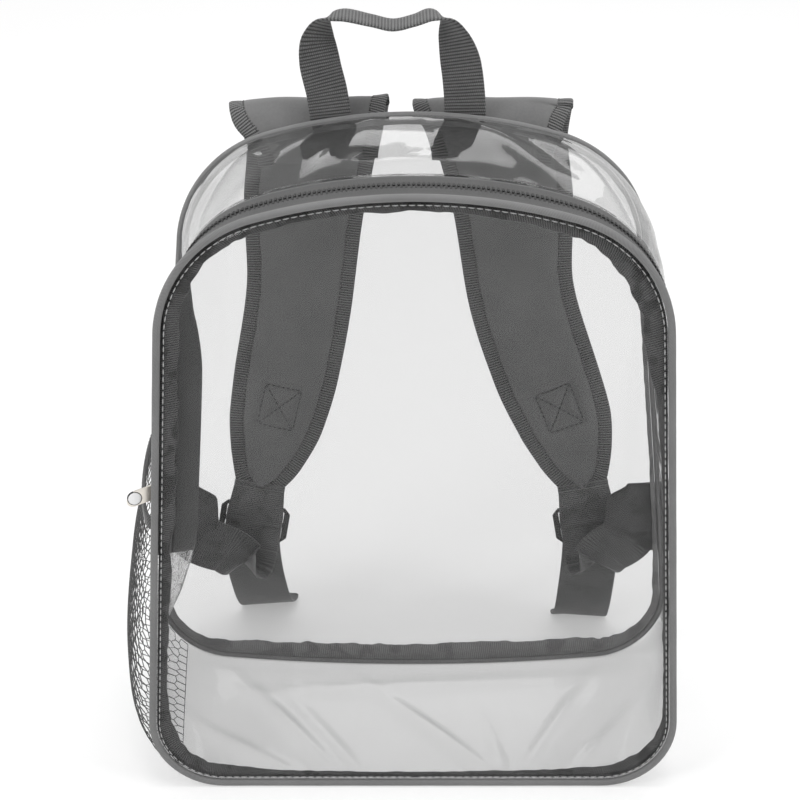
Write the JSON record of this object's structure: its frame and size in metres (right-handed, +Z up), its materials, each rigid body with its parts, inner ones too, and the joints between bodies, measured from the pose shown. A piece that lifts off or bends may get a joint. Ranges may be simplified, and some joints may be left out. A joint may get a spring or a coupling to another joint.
{
  "type": "clear stadium backpack",
  "caption": "Clear vinyl backpack with an arched top, grey piped seams, a zip over the top, a side net pocket, a grab handle and padded shoulder straps.",
  "frame": {"origin": "on the floor under the middle of the bag's flat bottom, halfway between the front and rear seams", "axes": "+Z up, -Y towards the clear front panel, +Y towards the shoulder straps, +X to the right of a viewer in front"},
  "size_m": [0.3546, 0.2353, 0.4449],
  "materials": {
    "clear_sheet": "clear flexible vinyl sheet, high gloss, slightly wavy",
    "piping_cloth": "matte cloth over a cord, mid grey",
    "seam_twill": "dark grey twill tape",
    "zip_tape": "dark grey woven zip tape",
    "zip_coil": "dark nylon coil",
    "silver_metal": "satin nickel plating",
    "net_mesh": "black knitted net",
    "webbing": "charcoal grey ribbed webbing",
    "pad_cloth": "charcoal grey brushed cloth over foam",
    "edge_tape": "charcoal grey ribbed edge tape",
    "lock_plastic": "black moulded plastic"
  },
  "bodies": {
    "bag": {"front_panel": "clear_sheet", "rear_panel": "clear_sheet", "top_gusset": "clear_sheet", "base_gusset": "clear_sheet", "front_piping": "piping_cloth", "rear_piping": "piping_cloth", "front_binding": "seam_twill", "rear_binding": "seam_twill", "zipper_tape_front": "zip_tape", "zipper_tape_rear": "zip_tape", "zipper_coil": "zip_coil", "zip_slider": "silver_metal", "mesh_pocket": "net_mesh", "pocket_hem": "seam_twill", "grab_handle": "webbing", "strap_pad_left": "pad_cloth", "strap_binding_left": "edge_tape", "strap_loop_left": "webbing", "ladder_lock_left": "lock_plastic", "strap_webbing_left": "webbing", "side_tab_left": "seam_twill", "strap_pad_right": "pad_cloth", "strap_binding_right": "edge_tape", "strap_loop_right": "webbing", "ladder_lock_right": "lock_plastic", "strap_webbing_right": "webbing", "side_tab_right": "seam_twill"},
    "pull": {"zip_pull": "silver_metal"}
  },
  "joints": [
    {"name": "pull_swing", "type": "hinge", "parent": "bag", "child": "pull", "pos_m": [-0.14116, -0.06352, 0.20049], "axis": [-0.0576, -0.002, -0.9983], "range_deg": [0, 115]}
  ]
}
